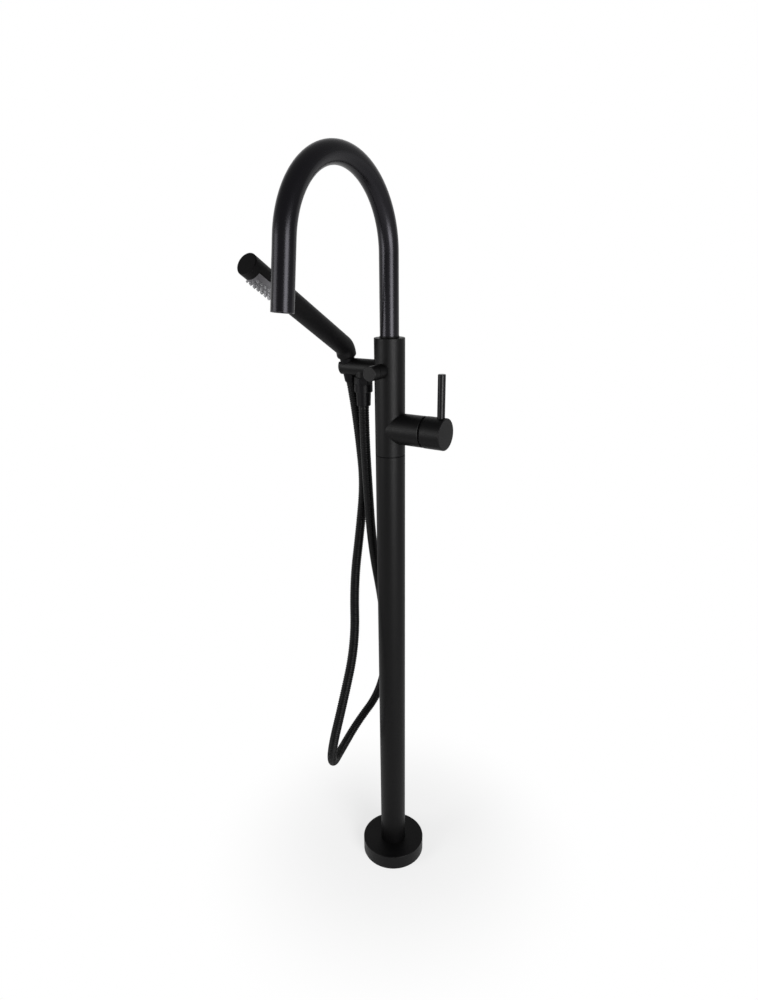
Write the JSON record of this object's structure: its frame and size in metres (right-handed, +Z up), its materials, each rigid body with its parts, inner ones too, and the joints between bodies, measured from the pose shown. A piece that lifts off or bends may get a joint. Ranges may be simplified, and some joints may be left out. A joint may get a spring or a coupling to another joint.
{
  "type": "floor standing bath filler",
  "caption": "Floor standing bath filler: upright column with a swivelling arched spout, side lever mixer, pull diverter and a hand shower on a hose in a cradle.",
  "frame": {"origin": "centre of the column's foot on the floor", "axes": "+Z up along the column, the spout reaches towards -Y, the mixer's handle points to +X"},
  "size_m": [0.1789, 0.2899, 1.0522],
  "materials": {
    "matte_black": "matte",
    "satin_black": "satin",
    "matte_black_plastic": "matte",
    "grey_plastic": "matte",
    "grey_rubber": "matte",
    "black_rubber": "matte",
    "white_plastic": "satin",
    "ceramic": "polished",
    "brass": "turned",
    "steel": "brushed",
    "copper": "drawn",
    "black_hose": "satin"
  },
  "bodies": {
    "stand": {"floor_flange": "steel", "base_cover": "matte_black", "cover_seal": "black_rubber", "column_set_screws": "steel", "column_tube": "matte_black", "supply_pipe_hot": "copper", "supply_pipe_cold": "copper", "supply_o_rings": "black_rubber", "seam_ring": "matte_black_plastic", "mixer_body": "matte_black", "cartridge_seal": "black_rubber", "cartridge_housing": "white_plastic", "fixed_disc": "ceramic", "cartridge_nut": "brass", "diverter_sleeve": "matte_black", "diverter_o_ring": "black_rubber", "spout_bearing": "white_plastic", "spout_retaining_screw": "steel", "holder_bar": "matte_black", "holder_seal": "black_rubber", "outlet_check_valve": "white_plastic", "outlet_hose_washer": "black_rubber", "outlet_hose_nut": "satin_black", "shower_hose": "black_hose"},
    "spout": {"spout_foot": "brass", "spout_o_rings": "black_rubber", "spout_collar": "matte_black", "spout_tube": "satin_black", "aerator_seal": "black_rubber", "aerator_housing": "matte_black_plastic", "aerator_insert": "grey_plastic"},
    "cartridge": {"cartridge_rotor": "white_plastic", "spindle_pin": "steel", "moving_disc": "ceramic"},
    "handle": {"cartridge_spindle": "brass", "handle_cap": "matte_black", "handle_lever": "satin_black", "handle_grub_screw": "steel"},
    "diverter": {"diverter_knob": "matte_black", "diverter_spindle": "brass", "diverter_valve": "black_rubber"},
    "hose_end": {"hand_hose_nut": "satin_black", "hand_hose_washer": "black_rubber"},
    "hand_shower": {"hand_shower_body": "matte_black", "hand_shower_nipple": "brass", "hand_shower_end_cap": "matte_black", "spray_plate": "grey_plastic", "spray_nozzles": "grey_rubber"}
  },
  "joints": [
    {"name": "spout_swivel", "type": "hinge", "parent": "stand", "child": "spout", "pos_m": [0, 0, 0.843], "axis": [0, 0, 1], "range_deg": [-10, 110]},
    {"name": "mixer_temperature", "type": "hinge", "parent": "stand", "child": "cartridge", "pos_m": [0.038, 0, 0.728], "axis": [1, 0, 0], "range_deg": [-45, 45]},
    {"name": "mixer_flow", "type": "hinge", "parent": "cartridge", "child": "handle", "pos_m": [0.038, 0, 0.728], "axis": [0, 1, 0], "range_deg": [0, 7]},
    {"name": "diverter_pull", "type": "slide", "parent": "stand", "child": "diverter", "axis": [0, -1, 0], "range_m": [0, 0.008]},
    {"name": "hand_shower_lift", "type": "slide", "parent": "stand", "child": "hose_end", "axis": [0, -0.2504, 0.9681], "range_m": [0, 0.06]},
    {"name": "hand_shower_swivel", "type": "hinge", "parent": "hose_end", "child": "hand_shower", "pos_m": [-0.065, -0.00656, 0.82937], "axis": [0, -0.2504, 0.9681], "range_deg": [-180, 45]}
  ]
}
